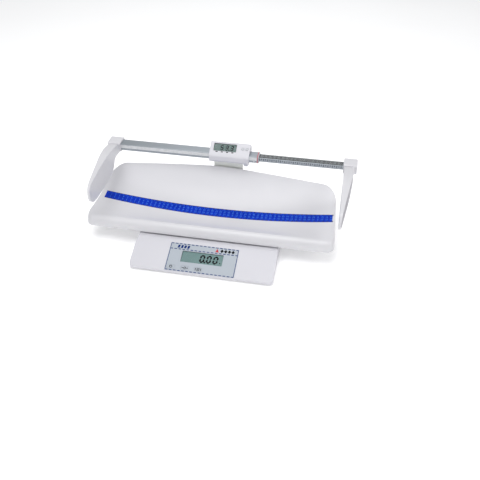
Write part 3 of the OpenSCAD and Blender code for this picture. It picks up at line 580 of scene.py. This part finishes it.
def ridge_outline():
    """The tray's ridge seen from above, anticlockwise."""
    corners = [Vector(p) for p in RIDGE_CORNERS]
    line = []
    for i, radius in enumerate(RIDGE_RADII):
        line += corner_arc(corners[i - 1], corners[i], corners[(i + 1) % len(corners)], radius)
    points = []
    for i, p in enumerate(line):
        q = line[(i + 1) % len(line)]
        count = max(1, round((q - p).length / RIDGE_STEP))
        points += [p.lerp(q, k / count) for k in range(count)]
    return points


def floor_points(p, shares, drop):
    """Points of the bowl on the way from its middle to p on the ridge, drop below its surface."""
    spots = [MIDDLE + share * (p - MIDDLE) for share in shares]
    return [Vector((q.x, q.y, bowl(q.x, q.y) - drop)) for q in spots]


def lip_points(p, out, reach, drop, angles):
    """Points over the lip outside p on the ridge, on the outside or drop further in."""
    points = []
    for angle in angles:
        sin, cos = math.sin(math.radians(angle)), math.cos(math.radians(angle))
        q = p + out * (reach - drop) * sin
        points.append(Vector((q.x, q.y, bowl(p.x, p.y) - drop * (1 - sin) - SKIRT * (1 - cos))))
    return points


def tray_section(p, out):
    """The tray's section, in metres, from its middle over the ridge at p and back underneath."""
    reach = LIP_REACH + FRONT_REACH * max(0, -out.y) ** 2
    top = floor_points(p, SHARES, 0) + lip_points(p, out, reach, 0, LIP_ANGLES)
    ridge = len(SHARES) - 1
    top[ridge] = (top[ridge - 1] + 2 * top[ridge] + top[ridge + 1]) / 4
    under = lip_points(p, out, reach, WALL, HEM_ANGLES) + floor_points(p, SHARES[-2::-3], WALL)
    hem = (top[-1] + under[0]) / 2 - Vector((0, 0, HEM_DROP))
    return [v * MM for v in top + [hem] + under]


def make_tray():
    ridge = ridge_outline()
    sections = []
    for i, p in enumerate(ridge):
        along = (ridge[(i + 1) % len(ridge)] - ridge[i - 1]).normalized()
        sections.append(tray_section(p, Vector((along.y, -along.x))))
    rings = list(zip(*sections))
    hub = Vector((*MIDDLE, bowl(*MIDDLE))) * MM
    mesh = grid_mesh("tray_shell", rings, caps=(hub, hub - Vector((0, 0, WALL * MM))))
    add_bosses(mesh)
    add_piece("tray_shell", mesh, "tray", FINISH["white_gloss"])


def add_bosses(mesh):
    """The four screw bosses under the tray, on the support's grommets and slightly tapered."""
    foot_r, head_r, inset, sides = 8, 7.6, 7 * MM, 32
    bm = bmesh.new()
    bm.from_mesh(mesh)
    low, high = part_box("support_grommets")
    ring = [Vector((math.cos(a), math.sin(a))) for a in (math.tau * k / sides for k in range(sides))]
    for x in (low.x + inset, high.x - inset):
        for y in (low.y + inset, high.y - inset):
            foot = [Vector((x, y)) + p * foot_r * MM for p in ring]
            head = [Vector((x, y)) + p * head_r * MM for p in ring]
            lower = [bm.verts.new((p.x, p.y, high.z)) for p in foot]
            upper = [bm.verts.new((p.x, p.y, (bowl(p.x / MM, p.y / MM) - WALL / 2) * MM)) for p in head]
            bm.faces.new(lower[::-1])
            bm.faces.new(upper)
            for k in range(sides):
                bm.faces.new((lower[k - 1], lower[k], upper[k], upper[k - 1]))
    bm.to_mesh(mesh)
    bm.free()
    tidy_mesh(mesh)


# The tape's face above the bowl and its depth, the width and fall of its rounded edges, and its segments
# along and across
TAPE_LIFT, TAPE_DEPTH = 0.55, 0.9
TAPE_EDGE, TAPE_FALL = 0.25, 0.15
TAPE_STEPS, TAPE_STRIPS = 180, 6
# The tape's printing: the blank at each end, the edges of its blocks, and the feet and height of its numbers
TAPE_MARGIN, BLOCK_EDGES = 3, (0.4, 2.4)
TAPE_NUMBER_V, TAPE_NUMBER_H = 6.2, 4.2


def by_mark(k, tenth, fifth, other):
    """The value that mark k of a scale takes, for each tenth, each fifth and the other marks."""
    if k % 5:
        return other
    return fifth if k % 10 else tenth


def make_tape():
    low, high = (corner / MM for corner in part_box("measuring_tape"))
    length, width = high.x - low.x, high.y - low.y

    def tape_place(u, v, h):
        """u along the tape from its left end, v across it from its front edge."""
        x, y = low.x + u, low.y + v
        return Vector((x, y, bowl(x, y) + TAPE_LIFT + h)) * MM

    section = [(0.0, -TAPE_DEPTH), (0.0, -TAPE_FALL), (TAPE_EDGE, 0.0)]
    section += [(width * k / TAPE_STRIPS, 0.0) for k in range(1, TAPE_STRIPS)]
    section += [(width - TAPE_EDGE, 0.0), (width, -TAPE_FALL), (width, -TAPE_DEPTH)]
    rings = [[tape_place(length * k / TAPE_STEPS, v, h) for v, h in section] for k in range(TAPE_STEPS + 1)]
    mesh = grid_mesh("tape_band", rings)
    bm = bmesh.new()
    bm.from_mesh(mesh)
    bmesh.ops.holes_fill(bm, edges=[e for e in bm.edges if e.is_boundary])
    bm.to_mesh(mesh)
    bm.free()
    add_piece("tape_band", tidy_mesh(mesh, 60), "measuring_tape", FINISH["tape_blue"])
    print_tape(tape_place, length, width)


def print_tape(place, length, width):
    """Millimetre marks and centimetre numbers along both edges, with a dark block at the start of each cm."""
    marks, blocks = Marks(place, 0.05), Marks(place, 0.04)
    outer, inner = BLOCK_EDGES
    for k in range(int(length - 2 * TAPE_MARGIN) + 1):
        u = TAPE_MARGIN + k
        reach = by_mark(k, 3.4, 2.2, 1.2)
        half = by_mark(k, 0.22, 0.13, 0.13)
        marks.bar(u - half, inner, u + half, inner + reach)
        marks.bar(u - half, width - inner - reach, u + half, width - inner)
        if k % 10 == 0:
            blocks.bar(u, outer, u + 5, inner)
            blocks.bar(u, width - inner, u + 5, width - outer)
        if k % 10 == 0 and k:
            marks.number(str(k // 10), u, TAPE_NUMBER_V, TAPE_NUMBER_H)
            marks.number(str(k // 10), u, width - TAPE_NUMBER_V, TAPE_NUMBER_H, turn=-1)
    marks.piece("tape_marks", "measuring_tape", LIGHT_INK)
    blocks.piece("tape_blocks", "measuring_tape", DEEP_INK)


# ---------- console ----------

# The label's printed frame, in mm: its distance from the label's edge, the width of its side lines and of
# its dashed ones, and how far below the label's top the band with the signs ends
FRAME_EDGE, SIDE_LINE, DASH_LINE, BAND = 1.6, 1.3, 2, 15.4
DASH, DASH_GAP = 6.0, 3.3
# In that band: where the slanted bars start from the left, where the triangle and the diamonds are from the
# right, and the distance from one bar and one diamond to the next
BARS_FROM, BAR_PITCH = 17, 7.4
TRIANGLE_FROM, DIAMONDS_FROM, DIAMOND_PITCH = 49, 38, 8.4
# Middle height of the display's opening and of the keys, up the slope of the label
WINDOW_V, KEY_V = 38.85, 9.95
# The weight's digits, in mm: height, width, stroke, and distance from one to the next; how far right of the
# display's middle they end and the unit's triangle starts; and how far the field lies below the label
DIGIT_H, DIGIT_W, DIGIT_STROKE, DIGIT_PITCH = 20.5, 11.8, 4.1, 15
DIGITS_END, UNIT_FROM = 35.4, 39.5
LCD_DEPTH = 1.75


def dashes(marks, u0, u1, v):
    u = u0
    while u < u1:
        marks.bar(u, v - DASH_LINE / 2, min(u + DASH, u1), v + DASH_LINE / 2)
        u += DASH + DASH_GAP


def make_console():
    plane, width, length, thick = slanted_plane("console_label", joint_axis("power_key_press"))
    softened("console_label", 0.2)
    softened("console_window", 0.3)
    softened("main_lcd", 0.25)
    print_label(on_plane(plane, thick), width / 2, length)
    low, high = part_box("main_lcd")
    make_main_digits(plane, (plane.inverted() @ ((low + high) / 2)).x / MM)
    make_keys(plane, thick)


def print_label(place, half, length):
    """The label's frame, and in its upper band slanted bars, a triangle and diamonds."""
    navy, dark, red = Marks(place), Marks(place), Marks(place)
    left, right = -half + FRAME_EDGE, half - FRAME_EDGE
    top, band = length - FRAME_EDGE, length - BAND
    for u in (left, right):
        navy.bar(u - SIDE_LINE / 2, FRAME_EDGE, u + SIDE_LINE / 2, top)
    for v in (FRAME_EDGE, band, top):
        dashes(navy, left, right, v)
    v = (band + top) / 2
    for k in range(4):
        u = -half + BARS_FROM + BAR_PITCH * k
        navy.shape([(u, v - 3.9), (u + 5, v - 3.9), (u + 6.4, v + 3.9), (u + 1.4, v + 3.9)])
        u = half - DIAMONDS_FROM + DIAMOND_PITCH * k
        dark.shape([(u - 4, v), (u, v - 4.8), (u + 4, v), (u, v + 4.8)])
    u = half - TRIANGLE_FROM
    red.shape([(u - 4.2, v - 4.2), (u + 4.2, v - 4.2), (u, v + 4.6)])
    navy.piece("label_navy_print", "console_label", NAVY_INK)
    red.piece("label_red_print", "console_label", RED_INK)
    dark.piece("label_dark_print", "console_label", DARK_INK)


def make_main_digits(plane, middle):
    """The weight and its unit's triangle, about the middle of the display."""
    place = on_plane(plane, -LCD_DEPTH)
    lit, ghost = Marks(place, LIT_INK), Marks(place, UNLIT_INK)
    start = middle + DIGITS_END - DIGIT_W - 2 * DIGIT_PITCH
    foot = WINDOW_V - DIGIT_H / 2
    draw_digits(lit, ghost, "0.00", start, foot, DIGIT_W, DIGIT_H, DIGIT_STROKE, DIGIT_PITCH)
    u, v = middle + UNIT_FROM, WINDOW_V - 7.5
    lit.shape([(u, v), (u + 3.5, v), (u + 1.7, v + 3.5)])
    lit.piece("weight_digits", "main_lcd", DARK_INK)
    ghost.piece("weight_digit_ghosts", "main_lcd", MAIN_GHOST)


def make_keys(plane, thick):
    """The three membrane keys with a printed sign on each."""
    for node, sign in (("key_power", on_off_sign), ("key_tare", zero_sign), ("key_hold", hold_sign)):
        softened(node, 0.25, KEY_FILM)
        low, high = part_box(node)
        spot = plane.inverted() @ Vector(((low.x + high.x) / 2, high.y, high.z))
        marks = Marks(on_plane(plane, thick))
        sign(marks, spot.x / MM, KEY_V)
        marks.piece(node + "_sign", node, DARK_INK)


def on_off_sign(marks, u, v):
    """A ring that is open at the top, with an upright bar in the gap."""
    marks.ring(u, v, 2.9, 1.4, 125, 415)
    marks.bar(u - 0.7, v + 0.4, u + 0.7, v + 4.1)


def zero_sign(marks, u, v):
    """A nought between two arrows that point at it."""
    marks.ring(u, v, 2.3, 1.4)
    for side in (-1, 1):
        marks.bar(u + side * 5.7 - 1.3, v - 0.7, u + side * 5.7 + 1.3, v + 0.7)
        tip = [(u + side * 3.4, v), (u + side * 5.4, v + 1.9), (u + side * 5.4, v - 1.9)]
        marks.shape(tip if side < 0 else tip[::-1])


def hold_sign(marks, u, v):
    """Three lines between two upright bars."""
    for side in (-1, 1):
        marks.bar(u + side * 6 - 0.7, v - 3.2, u + side * 6 + 0.7, v + 3.2)
    for rise in (-2.5, 0, 2.5):
        marks.bar(u - 3.6, v + rise - 0.65, u + 3.6, v + rise + 0.65)


# ---------- length rod ----------

# The ruler's printing, in mm: its first mark from the film's end, its margins at the front and back edges,
# and the feet and height of its numbers; and the top of the marks on the bar's front face
RULER_FROM, FRONT_MARGIN, BACK_MARGIN = 2, 0.3, 0.4
RULER_NUMBER_V, RULER_NUMBER_H = 6.8, 5.6
SIDE_MARK_TOP = 1.2
# The length's digits, in mm: where the first one starts from the display's middle, then as for the weight's
LENGTH_FROM, LENGTH_H, LENGTH_W, LENGTH_STROKE, LENGTH_PITCH = -12.5, 13.5, 8, 2.4, 12
# The first sign below them and the distance to the next
SIGNS_FROM, SIGN_PITCH = -22, 12.6
# The bare edge of the sleeve's face below and above its painted highlight band, and the gaps from that band to its
# neighbours and to the sleeve's end
HIGHLIGHT_BELOW, HIGHLIGHT_ABOVE, HIGHLIGHT_GAP, HIGHLIGHT_END = 6.2, 1.6, 0.3, 0.4


def make_ruler():
    """The ruler on the bar: marks and numbers on its film, and marks down the bar's front face."""
    low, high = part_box("bar_scale")
    bar_low, bar_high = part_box("inner_bar")
    softened("bar_scale", 0.05)
    length, width = (high.x - low.x) / MM, (high.y - low.y) / MM
    marks = Marks(lambda u, v, h: Vector((low.x + u * MM, low.y + v * MM, high.z + h * MM)), 0.04)
    side = Marks(lambda u, v, h: Vector((low.x + u * MM, bar_low.y - h * MM, bar_high.z - v * MM)), 0.04)
    for k in range(int(length) - 3):
        u = RULER_FROM + k
        reach = by_mark(k, 5.5, 4.2, 3)
        half = by_mark(k, 0.45, 0.24, 0.24)
        marks.bar(u - half, FRONT_MARGIN, u + half, FRONT_MARGIN + reach)
        if k % 10 == 0 and k:
            marks.number(str(k // 10), u, RULER_NUMBER_V, RULER_NUMBER_H)
        if k % 5 == 0:
            marks.bar(u - half, width - 3, u + half, width - BACK_MARGIN)
            side.bar(u - 0.8, SIDE_MARK_TOP, u + 0.8, by_mark(k, 7, 5, 5))
    marks.piece("ruler_marks", "bar_scale", DARK_INK)
    side.piece("bar_side_marks", "inner_bar", GREY_INK)


def make_length_display():
    """The length's digits under their window, and four signs below it."""
    plane, _, length, thick = slanted_plane("display_window", joint_axis("length_zero_press"))
    softened("display_lcd", 0.2, SMALL_LCD)
    softened("display_window", 0.3)
    place = on_plane(plane, -0.15)
    lit, ghost = Marks(place, LIT_INK), Marks(place, UNLIT_INK)
    foot = (length - LENGTH_H) / 2
    draw_digits(lit, ghost, "53.3", LENGTH_FROM, foot, LENGTH_W, LENGTH_H, LENGTH_STROKE, LENGTH_PITCH)
    lit.piece("length_digits", "display_lcd", DARK_INK)
    ghost.piece("length_digit_ghosts", "display_lcd", LENGTH_GHOST)
    signs = Marks(on_plane(plane, thick + 0.22))
    for k in range(4):
        u = SIGNS_FROM + SIGN_PITCH * k
        signs.shape([(u, -3.4), (u + 5.2, -3.4), (u + 6.2, -1.2), (u + 1, -1.2)])
    signs.piece("length_signs", "display_upper_shell", DARK_INK)


def make_sleeve_strips():
    """A paler band painted on the upper part of the sleeve's front face, lighter than its top, in the two
    stretches that the display leaves bare: a painted highlight for the light that face catches.
    """
    low, high = (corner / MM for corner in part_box("rod_sleeve"))
    display_low, display_high = (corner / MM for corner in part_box("display_lower_shell"))
    head_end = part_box("head_paddle")[1].x / MM
    strip = Marks(lambda u, v, h: Vector((u, low.y - h, v)) * MM, 0.25)
    left = (head_end + HIGHLIGHT_GAP, display_low.x - HIGHLIGHT_GAP)
    right = (display_high.x + HIGHLIGHT_GAP, high.x - HIGHLIGHT_END)
    for start, end in (left, right):
        # Painted highlight: the paler band stands in for the light on the sleeve's front face
        strip.bar(start, low.z + HIGHLIGHT_BELOW, end, high.z - HIGHLIGHT_ABOVE)
    strip.piece("sleeve_strip", "rod_sleeve", SLEEVE_PAINTED_HIGHLIGHT)


# ---------- the other pieces ----------

# Width of the rounded edges of each piece that keeps its CAD shape and is in view, in mm
EDGE = {
    "base_housing": 1.1, "base_cover": 0.5, "rubber_feet": 0.5, "foot_screws": 0.15, "case_screws": 0.15,
    "power_jack": 0.3, "battery_door": 0.3, "rod_bracket": 0.6, "bracket_screws": 0.2, "bracket_nuts": 0.2,
    "rod_sleeve": 0.4, "sleeve_end_bush": 0.35, "index_ring": 0.3, "sleeve_screw": 0.12,
    "head_paddle": 1.3, "head_paddle_screws": 0.15, "inner_bar": 0.35, "foot_paddle": 1.3,
    "foot_paddle_screws": 0.15, "display_upper_shell": 0.7, "display_lower_shell": 0.7,
    "display_button_power": 0.5, "display_button_zero": 0.5, "display_battery_door": 0.35,
    "display_screws": 0.15, "lock_screw": 0.3, "support_grommets": 0.4, "tray_screws": 0.15,
}


def soften_hard_parts():
    for node, width in EDGE.items():
        softened(node, width, OWN_FINISH.get(node))


def finish_kept_nodes():
    """The CAD nodes that nothing replaces, nearly all inside, get their slot's finish."""
    for node, piece in frame["nodes"].items():
        if not piece.hide_render:
            piece.data.materials.clear()
            piece.data.materials.append(FINISH[SLOT_OF[node]])


make_camera()
make_studio()
make_tray()
make_tape()
make_console()
make_ruler()
make_length_display()
make_sleeve_strips()
soften_hard_parts()
finish_kept_nodes()
